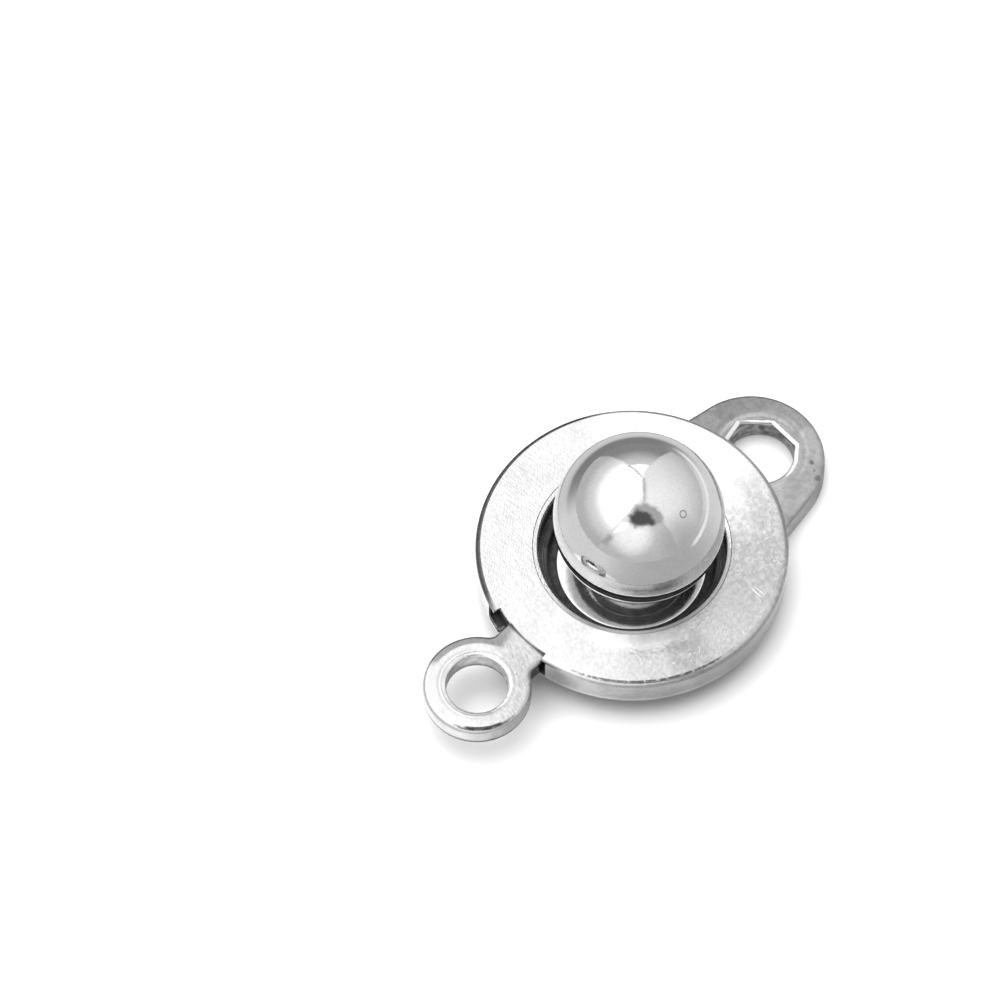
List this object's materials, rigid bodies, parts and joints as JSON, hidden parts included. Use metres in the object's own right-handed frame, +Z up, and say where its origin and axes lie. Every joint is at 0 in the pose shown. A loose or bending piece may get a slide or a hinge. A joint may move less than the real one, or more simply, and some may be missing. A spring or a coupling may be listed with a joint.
{
  "type": "snap button clasp",
  "caption": "Snap button clasp, fastened: a ball stud on a tabbed plate, clicked into a flat round socket that ends in a loop; each end has an eye to join it on.",
  "frame": {"origin": "on the underside of the stud plate, on the axis that the two halves turn about", "axes": "+X along the clasp from the socket's loop towards the stud's tab, +Z up through the ball"},
  "size_m": [0.0149, 0.009, 0.0058],
  "materials": {
    "housing_steel": "satin, finely tumbled, with small pits and scratches",
    "plate_steel": "satin, a little rougher, with bright rounded edges",
    "spring_steel": "plain drawn wire",
    "polished_steel": "mirror polished"
  },
  "bodies": {
    "stud": {"stud_plate": "plate_steel", "ball": "polished_steel"},
    "socket": {"housing": "housing_steel", "socket_eye_plate": "plate_steel", "spring_ring": "spring_steel"}
  },
  "joints": [
    {"name": "swivel", "type": "hinge", "parent": "stud", "child": "socket", "pos_m": [0, 0, 0], "axis": [0, 0, 1], "continuous": true}
  ]
}
